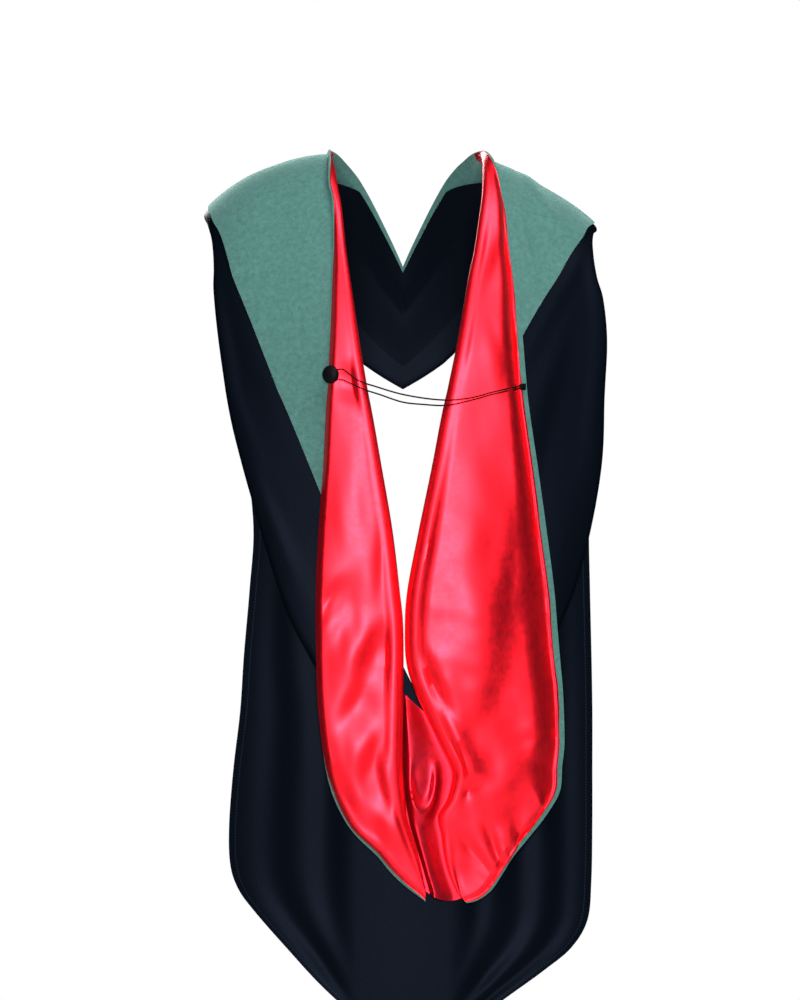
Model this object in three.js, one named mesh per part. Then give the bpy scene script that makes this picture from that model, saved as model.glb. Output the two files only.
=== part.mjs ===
// A doctoral academic hood as it is worn, seen from behind the wearer along +Y.
// Millimetres. +X is the wearer's right, +Y the way the wearer faces and +Z is up.
// The origin lies between the shoulders, level with the top of the shoulder ridge beside the neck.
//
// Each piece of cloth is a thin wall. It is laid out flat on an imagined seat, which is the wearer's
// back, shoulders and chest: "across" runs sideways in X, and "down" is the distance from the shoulder
// ridge, down the back where it is above zero and down the chest where it is below zero.

import * as THREE from 'three';

// Overall sizes
const shoulderHalf = 206; // middle of the neck to where the trim crosses the shoulder
const leftDrop = 64; // how far the left shoulder falls from the neck to there
const rightDrop = 84; // and the right one, which slopes from nearer the neck
const neckFlat = 60; // half width beside the neck where the ridge stays level
const cowlDrop = 861; // shoulder ridge down the back to the cowl's lowest point
const panelDrop = 1014; // shoulder ridge down the back to the panels' lowest point
const frontDrop = 308; // shoulder ridge down the chest to the point of the front band

// The seat that the hood is laid on
const seatSink = 12; // how far it lies below the hood's own top
const backDepth = 140; // wearer's middle to the shoulder blades
const backRise = 248; // height over which the upper back rounds off
const chestDepth = 120;
const chestRise = 220;
const sideTuck = 45; // how much nearer the wearer's middle the cape lies at its sides
const hangLean = 0.02; // how the cloth leans out below the shoulder blades, per unit of drop

// Cloth
const panelWall = 1.2;
const shellWall = 1.2;
const trimWall = 1.6;
const liningWall = 1.0;
const seamGap = 0.5; // air between two layers that follow each other
const shellGap = 0.8; // air between the trim and the shell beneath it
const layerGap = 1.2; // air between layers that are cut and folded differently
const restGap = 0.35; // air between layers that rest on each other where the back is flat
const roundGap = 2.5; // more air between them where it is rounded

// Cowl
const lapelWidth = 163; // widest part of the lining that is turned out
const trimWidth = 127; // velvet band, from its edge to its seam with the shell
const lobeRoll = 13; // radius of the fold at the fullest part of the cowl
const pipingWidth = 7; // widest strip of trim that shows outside the lining
const slopeWidth = 20; // strip of the lapel that falls towards its edge
const lipWidth = 1.5; // strip of it that lies flat at the edge
const capeRise = 6; // how far the shell's outer fold stands off the panel
const capeRoll = 4; // radius of that fold
const capeWide = 90; // width of shell from which it stands off by all of that
const facingDip = 4; // how far the shell's inner edge hangs clear of the trim in front
const turnUnder = 22; // width of the shell turned under at that fold
const liningUnder = 30; // width of the lining turned under at the cowl's inner fold
const panelLap = 2.0; // how far the right panel steps up to lie on the left one
const lapFrom = 90; // distance from the middle at which it starts to step up
const lapTo = 50;
const foldDepth = 7; // how far the deepest fold of a panel sinks

// Button, its shank and the cord that loops round it
const buttonRadius = 9.8;
const buttonHeight = 7.5;
const buttonSides = 20;
const shankRadius = 1.8;
const shankHeight = 4.2;
const shankFoot = [-74.3, -149.0, -240];
const buttonTurn = -30; // degrees about Z, so that it faces out from the lapel's slope
const cordDiameter = 1.8;
const cordSides = 8;
const cordSteps = 66;
const tackLength = 8; // along the slope
const tackDepth = 3.2;
const tackHeight = 7.5;
const tackPlace = [128.3, -137.6, -253.6];
const tackTurn = 38;

// Levels above the seat at which the middle of each layer lies
const panelLevel = layerGap + panelWall / 2;
const underShellLevel = panelLevel + (panelWall + shellWall) / 2 + restGap;
const throatLevel = panelLevel + panelLap + (panelWall + liningWall) / 2 + restGap;
const liningUnderLevel = throatLevel + liningWall + restGap;
const layerStep = (trimWall + liningWall) / 2 + seamGap;
const trimLevel = liningUnderLevel + layerStep;
const shellLevel = trimLevel - (trimWall + shellWall) / 2 - shellGap;
const mouthLevel = trimLevel + trimWall + seamGap;

// Left and right halves of the cowl, a row for each section from the point of the front band, over
// the shoulder and down to the lowest point. Lengths are shares: fold of shoulderHalf, down of
// frontDrop above the ridge and of cowlDrop below it, lapel of lapelWidth, roll of lobeRoll, seam of
// trimWidth, cape of shoulderHalf and piping of pipingWidth. tilt and turn are in degrees: tilt is
// how far the section leans down from level, and turn how far the edge is turned out.
const columns = ['fold', 'down', 'tilt', 'lapel', 'turn', 'roll', 'seam', 'cape', 'piping', 'facing'];
const leftCowl = [
  [0.001, -0.662, -90, 0.05, 25, 0.35, 0.70, 0.510, 0.2, 0],
  [0.126, -0.516, -64, 0.05, 25, 0.35, 0.72, 0.520, 0.2, 0],
  [0.252, -0.344, -48, 0.05, 35, 0.35, 0.75, 0.530, 0.2, 0],
  [0.360, -0.172, -24, 0.04, 35, 0.30, 0.79, 0.550, 0.2, 1],
  [0.405, 0.000, 0, 0.02, 60, 0.20, 0.91, 0.602, 0.2, 1],
  [0.354, 0.110, 0, 0.06, 130, 0.23, 0.99, 0.644, 0.2, 1],
  [0.327, 0.156, 0, 0.06, 140, 0.25, 1.00, 0.664, 0.2, 1],
  [0.300, 0.212, 0, 0.08, 160, 0.30, 0.99, 0.690, 0.2, 1],
  [0.275, 0.249, 0, 0.116, 175, 0.35, 0.965, 0.716, 0.2, 1],
  [0.228, 0.313, 0, 0.187, 180, 0.42, 0.856, 0.736, 0.2, 1],
  [0.166, 0.384, 0, 0.29, 180, 0.50, 0.73, 0.745, 0.2, 1],
  [0.111, 0.458, 0, 0.377, 180, 0.58, 0.61, 0.724, 0.2, 1],
  [0.054, 0.538, 0, 0.476, 180, 0.65, 0.48, 0.684, 0.2, 1],
  [0.017, 0.612, 0, 0.54, 180, 0.70, 0.30, 0.625, 0.2, 1],
  [-0.002, 0.660, 0, 0.565, 180, 0.73, 0.25, 0.565, 0.2, 1],
  [-0.002, 0.742, 0, 0.557, 180, 0.77, 0.20, 0.390, 0.2, 1],
  [0.004, 0.830, -3, 0.503, 180, 0.77, 0.20, 0.330, 0.2, 1],
  [-0.012, 0.872, 20, 0.42, 180, 0.69, 0.18, 0.270, 0.25, 1],
  [-0.038, 0.905, 47, 0.30, 180, 0.54, 0.16, 0.190, 0.3, 1],
  [-0.085, 0.942, 49, 0.21, 180, 0.35, 0.10, 0.110, 0.4, 1],
  [-0.140, 0.988, 90, 0.08, 180, 0.19, 0.05, 0.050, 0.3, 1],
];
const rightCowl = [
  [0.001, -0.662, -90, 0.05, 25, 0.35, 0.70, 0.510, 0.2, 0],
  [0.126, -0.516, -64, 0.05, 25, 0.35, 0.72, 0.520, 0.2, 0],
  [0.252, -0.344, -48, 0.05, 35, 0.35, 0.75, 0.530, 0.2, 0],
  [0.365, -0.172, -24, 0.04, 40, 0.30, 0.78, 0.545, 0.2, 1],
  [0.415, 0.000, 0, 0.03, 90, 0.20, 0.88, 0.561, 0.2, 1],
  [0.408, 0.110, 0, 0.107, 160, 0.31, 0.85, 0.566, 0.3, 1],
  [0.400, 0.156, 0, 0.159, 175, 0.35, 0.83, 0.585, 0.4, 1],
  [0.374, 0.212, 0, 0.23, 180, 0.42, 0.76, 0.641, 0.5, 1],
  [0.341, 0.249, 0, 0.297, 180, 0.50, 0.70, 0.707, 0.6, 1],
  [0.286, 0.313, 0, 0.397, 180, 0.62, 0.53, 0.782, 0.7, 1],
  [0.210, 0.384, 0, 0.53, 180, 0.72, 0.36, 0.840, 0.75, 1],
  [0.150, 0.458, 0, 0.661, 180, 0.81, 0.22, 0.884, 0.8, 1],
  [0.081, 0.538, 0, 0.803, 180, 0.92, 0.22, 0.896, 0.9, 1],
  [0.022, 0.612, 0, 0.928, 180, 1.00, 0.22, 0.870, 0.9, 1],
  [0.009, 0.660, 0, 0.966, 180, 1.00, 0.22, 0.800, 0.9, 1],
  [0.018, 0.704, 0, 0.977, 180, 1.00, 0.22, 0.730, 0.85, 1],
  [0.070, 0.742, 0, 0.931, 180, 1.00, 0.22, 0.650, 0.8, 1],
  [0.187, 0.802, 0, 0.795, 180, 0.92, 0.20, 0.500, 0.75, 1],
  [0.244, 0.830, 2, 0.71, 180, 0.85, 0.20, 0.440, 0.7, 1],
  [0.254, 0.848, 8, 0.69, 180, 0.77, 0.20, 0.400, 0.65, 1],
  [0.228, 0.874, 9, 0.645, 180, 0.65, 0.20, 0.380, 0.6, 1],
  [0.180, 0.896, 15, 0.59, 180, 0.50, 0.18, 0.340, 0.5, 1],
  [0.195, 0.918, 18, 0.485, 180, 0.38, 0.16, 0.280, 0.4, 1],
  [0.220, 0.942, 21, 0.375, 180, 0.31, 0.14, 0.200, 0.3, 1],
  [0.250, 0.966, 27, 0.25, 180, 0.23, 0.10, 0.110, 0.3, 1],
  [0.280, 0.991, 50, 0.07, 180, 0.17, 0.04, 0.040, 0.3, 1],
];

// Panels, a row for each section from under the cowl to the lowest point. outer and inner are the
// two edges as shares of shoulderHalf, each with its own down as a share of panelDrop.
const panelColumns = ['outer', 'outerDown', 'inner', 'innerDown'];
const leftPanel = [
  [0.80, 0.10, 0.52, 0.10],
  [0.89, 0.19, 0.48, 0.19],
  [0.89, 0.29, 0.40, 0.29],
  [0.82, 0.38, 0.30, 0.38],
  [0.78, 0.455, 0.20, 0.455],
  [0.80, 0.52, 0.12, 0.52],
  [0.83, 0.59, 0.02, 0.59],
  [0.85, 0.65, -0.12, 0.65],
  [0.885, 0.71, -0.20, 0.71],
  [0.908, 0.77, -0.22, 0.77],
  [0.903, 0.812, -0.22, 0.812],
  [0.862, 0.838, -0.21, 0.85],
  [0.779, 0.861, -0.20, 0.885],
  [0.602, 0.901, -0.18, 0.925],
  [0.416, 0.941, -0.15, 0.955],
  [0.220, 0.975, -0.12, 0.977],
  [0.050, 0.994, -0.10, 0.988],
];
const rightPanel = [
  [0.80, 0.10, 0.55, 0.10],
  [0.95, 0.19, 0.52, 0.19],
  [1.00, 0.29, 0.46, 0.29],
  [0.985, 0.38, 0.38, 0.38],
  [0.972, 0.455, 0.30, 0.455],
  [0.977, 0.52, 0.24, 0.52],
  [0.985, 0.59, 0.21, 0.59],
  [0.99, 0.65, 0.20, 0.65],
  [0.99, 0.71, 0.20, 0.71],
  [0.99, 0.77, 0.20, 0.77],
  [0.985, 0.83, 0.20, 0.83],
  [0.965, 0.872, 0.19, 0.868],
  [0.880, 0.901, 0.16, 0.895],
  [0.738, 0.924, 0.13, 0.92],
  [0.561, 0.949, 0.09, 0.945],
  [0.340, 0.980, 0.05, 0.97],
  [0.150, 0.996, 0.02, 0.988],
];

// Soft upright folds of a panel: where it lies between its outer and inner edge, its width on that
// same scale and the share of the fold depth that it sinks towards the wearer
const panelFolds = [
  { at: 0.2, width: 0.09, sinks: 0.7 },
  { at: 0.48, width: 0.12, sinks: 1 },
  { at: 0.78, width: 0.09, sinks: 0.6 },
];

// The lining between the two halves of the cowl: its two edges, each with its own drop
const throatColumns = ['left', 'leftDown', 'right', 'rightDown'];
const throat = [
  [-0.07, 0.725, 0.16, 0.775],
  [-0.07, 0.755, 0.21, 0.800],
  [-0.07, 0.790, 0.28, 0.822],
  [-0.07, 0.825, 0.33, 0.845],
  [-0.06, 0.855, 0.33, 0.866],
  [-0.05, 0.882, 0.31, 0.888],
  [-0.03, 0.907, 0.27, 0.910],
  [0.00, 0.930, 0.27, 0.932],
  [0.05, 0.954, 0.29, 0.954],
  [0.10, 0.973, 0.30, 0.975],
  [0.12, 0.983, 0.30, 0.990],
  [0.13, 0.990, 0.30, 0.999],
];
const throatPocket = { across: 0.09, down: 0.845, halfWidth: 0.075, halfLength: 0.055, lip: 9 };

// The cord's loop, from its tack, round the button's shank and back to the tack
const cordRoute = [
  [124.9, -140.4, -254.9],
  [120.8, -144.0, -256.2],
  [114.2, -152.1, -257.2],
  [108.0, -157.4, -258.4],
  [93.0, -160.9, -261.8],
  [82.4, -163.2, -264.9],
  [70.0, -165.8, -268.0],
  [52.0, -168.1, -272.0],
  [41.0, -166.0, -273.0],
  [22.0, -161.0, -272.0],
  [0.0, -159.9, -269.6],
  [-24.6, -160.4, -261.5],
  [-40.0, -161.3, -256.5],
  [-49.2, -161.1, -252.5],
  [-58.0, -159.8, -248.6],
  [-64.5, -157.7, -245.8],
  [-69.5, -154.6, -245.2],
  [-75.1, -150.4, -244.6],
  [-77.9, -148.7, -243.2],
  [-79.1, -148.1, -240.0],
  [-77.9, -148.7, -236.8],
  [-75.1, -150.4, -235.4],
  [-69.5, -154.5, -234.6],
  [-64.2, -157.5, -234.6],
  [-58.0, -159.2, -239.0],
  [-51.4, -160.2, -244.0],
  [-42.0, -160.6, -248.8],
  [-30.0, -160.5, -252.6],
  [-3.2, -160.0, -260.6],
  [23.5, -161.7, -265.4],
  [41.0, -166.1, -267.0],
  [52.0, -167.8, -267.0],
  [70.0, -165.6, -265.2],
  [82.4, -163.0, -262.5],
  [93.0, -160.7, -259.5],
  [108.0, -157.2, -256.0],
  [114.2, -151.9, -254.8],
  [120.8, -143.8, -253.7],
  [124.9, -140.4, -252.3],
];

const radians = THREE.MathUtils.degToRad;
const smooth = THREE.MathUtils.smoothstep;
const mix = THREE.MathUtils.lerp;

// Point of the seat at a place across and a drop down
function seat(across, down) {
  const depth = down > 0 ? backDepth : chestDepth;
  const rise = down > 0 ? backRise : chestRise;
  const arc = (Math.PI / 2) * Math.sqrt((depth ** 2 + rise ** 2) / 2);
  const angle = Math.min(Math.abs(down) / arc, 1) * (Math.PI / 2);
  const hang = Math.max(Math.abs(down) - arc, 0);
  const sideShare = Math.min(Math.abs(across) / shoulderHalf, 1.2);
  const local = depth - sideTuck * sideShare ** 2;
  const [drop, power] = across < 0 ? [leftDrop, 2.5] : [rightDrop, 1.65];
  const out = Math.max(Math.abs(across) - neckFlat, 0) / (shoulderHalf - neckFlat);
  const fall = drop * out ** power * (1 - smooth(Math.abs(down) / arc, 0, 1));
  const y = local * Math.sin(angle) + hangLean * hang;
  const z = -seatSink - rise * (1 - Math.cos(angle)) - hang - fall;
  return new THREE.Vector3(across, down > 0 ? -y : y, z);
}

// Point at a height above the seat, along the seat's own normal on the shoulder and straight out
// from the back below it
function above(across, down, height) {
  const step = 2;
  const along = seat(across + step, down).sub(seat(across - step, down));
  const drop = seat(across, down + step).sub(seat(across, down - step));
  const normal = drop.cross(along).normalize();
  normal.x *= 1 - smooth(down, 60, 200);
  return seat(across, down).addScaledVector(normal.normalize(), height);
}

// Catmull-Rom value of one table column at a place between its rows
function between(table, column, place) {
  const last = table.length - 1;
  const i = Math.min(Math.floor(place), last - 1);
  const t = place - i;
  const [a, b, c, d] = [i - 1, i, i + 1, i + 2].map((k) => table[Math.min(Math.max(k, 0), last)][column]);
  const tangentB = (c - a) / 2;
  const tangentC = (d - b) / 2;
  const bend = 3 * (c - b) - 2 * tangentB - tangentC;
  return b + tangentB * t + bend * t ** 2 + (tangentB + tangentC - 2 * (c - b)) * t ** 3;
}

function rowAt(table, names, place) {
  return Object.fromEntries(names.map((name, column) => [name, between(table, column, place)]));
}

// A closed thin wall from a front and a back grid of points, with the same rows and columns
function wall(front, back) {
  const rows = front.length;
  const across = front[0].length;
  const positions = [...front.flat(), ...back.flat()].flatMap((p) => [p.x, p.y, p.z]);
  const at = (side, i, j) => side * rows * across + i * across + j;
  const faces = [];
  const quad = (a, b, c, d) => faces.push(a, b, c, a, c, d);
  for (let i = 0; i < rows - 1; i++) {
    for (let j = 0; j < across - 1; j++) {
      quad(at(0, i, j), at(0, i, j + 1), at(0, i + 1, j + 1), at(0, i + 1, j));
      quad(at(1, i, j), at(1, i + 1, j), at(1, i + 1, j + 1), at(1, i, j + 1));
    }
    quad(at(0, i, 0), at(0, i + 1, 0), at(1, i + 1, 0), at(1, i, 0));
    quad(at(0, i + 1, across - 1), at(0, i, across - 1), at(1, i, across - 1), at(1, i + 1, across - 1));
  }
  for (let j = 0; j < across - 1; j++) {
    quad(at(0, 0, j + 1), at(0, 0, j), at(1, 0, j), at(1, 0, j + 1));
    quad(at(0, rows - 1, j), at(0, rows - 1, j + 1), at(1, rows - 1, j + 1), at(1, rows - 1, j));
  }
  const geometry = new THREE.BufferGeometry();
  geometry.setAttribute('position', new THREE.Float32BufferAttribute(positions, 3));
  geometry.setIndex(facesOut(geometry, faces));
  geometry.computeVertexNormals();
  return geometry;
}

// The faces turned so that they point out of the solid
function facesOut(geometry, faces) {
  const position = geometry.getAttribute('position');
  const [a, b, c] = [new THREE.Vector3(), new THREE.Vector3(), new THREE.Vector3()];
  let volume = 0;
  for (let i = 0; i < faces.length; i += 3) {
    a.fromBufferAttribute(position, faces[i]);
    b.fromBufferAttribute(position, faces[i + 1]);
    c.fromBufferAttribute(position, faces[i + 2]);
    volume += a.dot(b.cross(c));
  }
  return volume > 0 ? faces : faces.reverse();
}

// Points of a flat curve moved sideways, to the right of the way it runs
function sideways(points, distance) {
  return points.map((p, i) => {
    const ahead = points[Math.min(i + 1, points.length - 1)];
    const behind = points[Math.max(i - 1, 0)];
    const along = new THREE.Vector2().subVectors(ahead, behind).normalize();
    return new THREE.Vector2(p.x + along.y * distance, p.y - along.x * distance);
  });
}

// Sizes of one section of the cowl, in millimetres
function cowlSection(table, side, place) {
  const row = rowAt(table, columns, place);
  const roll = row.roll * lobeRoll;
  const outermost = roll + layerStep + liningWall / 2;
  const down = row.down * (row.down > 0 ? cowlDrop : frontDrop);
  const turned = smooth(row.turn, 60, 180);
  const bend = row.fold * shoulderHalf + outermost * turned;
  const lapel = Math.max(row.lapel * lapelWidth - outermost * turned, 3);
  const slope = Math.min(slopeWidth, 0.6 * lapel);
  return {
    side,
    roll,
    down,
    across: side * bend,
    tilt: radians(row.tilt),
    turn: radians(row.turn),
    lapel,
    slope,
    brow: lapel - slope - Math.min(lipWidth, 0.1 * lapel),
    seam: row.seam * trimWidth - outermost * turned,
    cape: row.cape * shoulderHalf - outermost * turned,
    piping: row.piping * pipingWidth,
    facing: row.facing,
  };
}

// Point of a section: inward from its bend along the section, and up from the seat
function onSection(s, point) {
  const across = s.across - s.side * point.x * Math.cos(s.tilt);
  return above(across, s.down - point.x * Math.sin(s.tilt), point.y);
}

// How far the panels' lap raises what lies over it
function lapRise(across) {
  return panelLap * (1 - smooth(Math.abs(across), lapTo, lapFrom));
}

// How far the outer part of the cowl's shell stands off the panel
function lift(s, inward) {
  return capeRise * smooth(s.cape, 0, capeWide) * smooth(-inward / s.cape, 0.35, 0.95);
}

// Middle line of the trim in one section, through the flat places given, round the fold and out to
// the lining's edge on the lapel
function trimLine(s, flats) {
  const line = flats.map((inward) => new THREE.Vector2(inward, trimLevel + lift(s, inward)));
  for (let i = 0; i < roundSteps; i++) {
    const angle = (s.turn * i) / roundSteps;
    line.push(new THREE.Vector2(s.roll * Math.sin(angle), trimLevel + s.roll * (1 - Math.cos(angle))));
  }
  const falls = [0, 0.35, 0.7, 1].map((share) => s.brow + s.slope * share);
  return [...line, ...[0, s.brow / 2, ...falls, s.lapel].map((distance) => lapelPoint(s, distance))];
}

// Point of the lapel, a distance from the fold: it arches over, falls and ends in a flat lip
function lapelPoint(s, distance) {
  const heading = new THREE.Vector2(Math.cos(s.turn), Math.sin(s.turn));
  const start = new THREE.Vector2(s.roll * Math.sin(s.turn), trimLevel + s.roll * (1 - Math.cos(s.turn)));
  const free = start.clone().addScaledVector(heading, distance);
  const fallen = smooth(distance, s.brow, s.brow + s.slope);
  const end = mouthLevel + lift(s, -s.lapel);
  const laid = new THREE.Vector2(start.x - distance, mix(start.y, end, fallen));
  return free.lerp(laid, smooth(s.turn, radians(120), Math.PI));
}

const roundSteps = 4;
const seamSteps = 3; // from the trim's seam to where the shell starts beneath it
const underSteps = 2; // from there to the fold
const capeSteps = 3; // from the trim's seam out to the shell's own fold

// Places across a section that every layer shares, so that the layers never cross
function shellStart(s) {
  return Math.min(liningUnder + layerGap, Math.max(s.cape - 4, 4));
}
function steps(from, to, count) {
  return Array.from({ length: count }, (_, i) => mix(from, to, i / count));
}
function trimFlats(s) {
  const start = shellStart(s);
  const reach = Math.max(s.seam, 2);
  if (reach > start + 1) return [...steps(-reach, -start, seamSteps), ...steps(-start, 0, underSteps)];
  return steps(-reach, 0, seamSteps + underSteps);
}

// Places along a table at which a wall has a section: its rows, and halfway between those where the
// cowl runs over the shoulder or round its bottom
function places(table, first, halved = []) {
  const rows = table.map((_, i) => i).slice(first);
  return rows.flatMap((i) => (halved.includes(i) ? [i, i + 0.5] : [i]));
}
const halvedRows = (table) => [2, 3, 4, table.length - 5, table.length - 4, table.length - 3];

function loft(stations, lineAt, thickness) {
  const front = [];
  const back = [];
  for (const station of stations) {
    const { s, line } = lineAt(station);
    front.push(sideways(line, thickness / 2).map((p) => onSection(s, p)));
    back.push(sideways(line, -thickness / 2).map((p) => onSection(s, p)));
  }
  return wall(front, back);
}

function trimBand(table, side) {
  return loft(places(table, 0, halvedRows(table)), (place) => {
    const s = cowlSection(table, side, place);
    return { s, line: [...trimLine(s, trimFlats(s)), lapelPoint(s, s.lapel + s.piping)] };
  }, trimWall);
}

const liningFirst = 3; // the row of the cowl tables where the lining starts, in front of the ridge

function liningHalf(table, side) {
  return loft(places(table, liningFirst, halvedRows(table)), (place) => {
    const s = cowlSection(table, side, place);
    const line = trimLine(s, steps(2 * layerGap - shellStart(s), 0, underSteps));
    return { s, line: sideways(line, layerStep) };
  }, liningWall);
}

// The shell under the trim: from the lining, or the neck edge in front, out to its fold and under
function shellHalf(table, side) {
  return loft(places(table, 0, halvedRows(table)), (place) => {
    const s = cowlSection(table, side, place);
    const inner = -shellStart(s);
    const hem = (i) => inner + (seamGap * (3 - i)) / 3;
    const edges = [s.lapel - 1, 0, inner / 2].map((inward, i) => mix(inward, hem(i), s.facing));
    const seam = Math.min(-s.seam, inner - 1);
    const end = -Math.max(s.cape - capeRoll, 2 - seam);
    const flats = [...edges, ...steps(inner, seam, seamSteps), ...steps(seam, end, capeSteps), end];
    const line = flats.map((inward, i) => {
      const dip = i < edges.length ? facingDip * (1 - s.facing) : 0;
      return new THREE.Vector2(inward, shellLevel + lift(s, inward) - dip);
    });
    const under = underShellLevel + lapRise(s.across - s.side * end) + roundGap * (1 - smooth(s.down, 300, 360));
    const roll = (shellLevel + lift(s, end) - under) / 2;
    for (let i = 1; i <= 3; i++) {
      const angle = (Math.PI * i) / 3;
      line.push(new THREE.Vector2(end - roll * Math.sin(angle), under + roll * (1 + Math.cos(angle))));
    }
    line.push(new THREE.Vector2(Math.min(end + turnUnder, edges[0] - 1), under));
    return { s, line: line.reverse() };
  }, shellWall);
}
function panel(table, side) {
  const acrossSteps = 9;
  const front = [];
  const back = [];
  for (const place of places(table, 0)) {
    const row = rowAt(table, panelColumns, place);
    const faces = [front, back].map(() => []);
    for (let j = 0; j <= acrossSteps; j++) {
      const t = j / acrossSteps;
      const across = side * shoulderHalf * mix(row.outer, row.inner, t);
      const down = panelDrop * mix(row.outerDown, row.innerDown, t);
      const sunk = foldDepth * panelFolds.reduce((sum, f) => sum + f.sinks * Math.exp(-(((t - f.at) / f.width) ** 2)), 0);
      const clear = smooth(Math.abs(across), lapTo, lapFrom);
      const height = panelLevel + (side > 0 ? lapRise(across) : 0) - sunk * clear * smooth(place, 3, 8);
      faces[0].push(above(across, down, height + panelWall / 2));
      faces[1].push(above(across, down, height - panelWall / 2));
    }
    front.push(faces[0]);
    back.push(faces[1]);
  }
  return wall(front, back);
}

function throatSheet() {
  const acrossSteps = 8;
  const front = [];
  const back = [];
  for (const place of places(throat, 0)) {
    const row = rowAt(throat, throatColumns, place);
    const faces = [front, back].map(() => []);
    for (let j = 0; j <= acrossSteps; j++) {
      const share = mix(row.left, row.right, j / acrossSteps);
      const down = mix(row.leftDown, row.rightDown, j / acrossSteps);
      const ring = Math.hypot(
        (share - throatPocket.across) / throatPocket.halfWidth,
        (down - throatPocket.down) / throatPocket.halfLength,
      );
      const lower = smooth(down, throatPocket.down - 0.02, throatPocket.down + 0.02);
      const lip = throatPocket.lip * lower * smooth(share, 0, 0.06) * Math.exp(-(((ring - 1) / 0.35) ** 2));
      const height = throatLevel + lip;
      faces[0].push(above(share * shoulderHalf, down * cowlDrop, height + liningWall / 2));
      faces[1].push(above(share * shoulderHalf, down * cowlDrop, height - liningWall / 2));
    }
    front.push(faces[0]);
    back.push(faces[1]);
  }
  return wall(front, back);
}

const black = { color: 0x10131a, roughness: 0.6, metalness: 0 };
const materials = {
  shell: new THREE.MeshStandardMaterial(black),
  trim: new THREE.MeshStandardMaterial({ color: 0x547f72, roughness: 0.85, metalness: 0 }),
  lining: new THREE.MeshStandardMaterial({ color: 0xe02a3e, roughness: 0.35, metalness: 0 }),
  cord: new THREE.MeshStandardMaterial({ color: 0x0b0b10, roughness: 0.7, metalness: 0 }),
};

const hood = new THREE.Group();
function add(name, geometry, material) {
  const mesh = new THREE.Mesh(geometry, material);
  mesh.name = name;
  hood.add(mesh);
  return mesh;
}

add('panel_left', panel(leftPanel, -1), materials.shell);
add('panel_right', panel(rightPanel, 1), materials.shell);
add('shell_left', shellHalf(leftCowl, -1), materials.shell);
add('shell_right', shellHalf(rightCowl, 1), materials.shell);
add('trim_left', trimBand(leftCowl, -1), materials.trim);
add('trim_right', trimBand(rightCowl, 1), materials.trim);
add('lining_left', liningHalf(leftCowl, -1), materials.lining);
add('lining_right', liningHalf(rightCowl, 1), materials.lining);
add('lining_throat', throatSheet(), materials.lining);

// Covered button: a shank and a domed cap, turned about Y and then laid facing out from the lapel
const dome = [[0.93, 0], [1, 0.22], [0.95, 0.52], [0.72, 0.82], [0.38, 0.96]];
const buttonProfile = [
  new THREE.Vector2(0, 0),
  new THREE.Vector2(shankRadius, 0),
  new THREE.Vector2(shankRadius, shankHeight),
  ...dome.map(([r, h]) => new THREE.Vector2(buttonRadius * r, shankHeight + buttonHeight * h)),
  new THREE.Vector2(0, shankHeight + buttonHeight),
];
const button = add('button', new THREE.LatheGeometry(buttonProfile, buttonSides), materials.cord);
button.geometry.rotateZ(Math.PI + radians(buttonTurn));
button.position.set(...shankFoot);

// Cord
const cordPath = new THREE.CatmullRomCurve3(cordRoute.map((point) => new THREE.Vector3(...point)));
const cordSection = new THREE.Shape(
  Array.from({ length: cordSides }, (_, i) => {
    const angle = (2 * Math.PI * i) / cordSides;
    return new THREE.Vector2(Math.cos(angle), Math.sin(angle)).multiplyScalar(cordDiameter / 2);
  }),
);
const cord = new THREE.ExtrudeGeometry(cordSection, { steps: cordSteps, extrudePath: cordPath });
add('cord_loop', cord, materials.cord);

// Tack that holds the cord's two ends at the lapel's edge
const tack = add('cord_tack', new THREE.BoxGeometry(tackLength, tackDepth, tackHeight), materials.cord);
tack.geometry.rotateZ(radians(tackTurn));
tack.position.set(...tackPlace);

export default hood;
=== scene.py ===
import math

import bpy
import numpy as np
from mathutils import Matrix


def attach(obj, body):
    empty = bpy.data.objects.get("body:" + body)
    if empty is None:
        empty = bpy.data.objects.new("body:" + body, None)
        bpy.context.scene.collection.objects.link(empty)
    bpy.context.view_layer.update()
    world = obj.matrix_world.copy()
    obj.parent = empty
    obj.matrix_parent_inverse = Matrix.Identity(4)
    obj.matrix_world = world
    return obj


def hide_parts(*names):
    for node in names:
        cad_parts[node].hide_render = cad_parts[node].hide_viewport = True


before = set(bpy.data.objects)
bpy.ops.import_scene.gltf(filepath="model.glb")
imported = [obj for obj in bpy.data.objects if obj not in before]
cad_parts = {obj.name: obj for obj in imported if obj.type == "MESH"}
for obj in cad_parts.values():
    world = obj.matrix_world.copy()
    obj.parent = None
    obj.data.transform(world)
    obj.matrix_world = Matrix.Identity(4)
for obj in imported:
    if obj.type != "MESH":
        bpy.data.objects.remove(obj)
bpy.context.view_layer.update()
print("hood: frame loaded")

mm = 0.001  # the numbers below are millimetres, Blender works in metres

# How finely the cloth is drawn: rows to each row of a table, and points across
fine = {"cowl": 8, "panel": 7, "panelAcross": 46, "throat": 12, "throatAcross": 70}
sharpAngle = math.radians(50)  # edges sharper than this are drawn as edges

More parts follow.
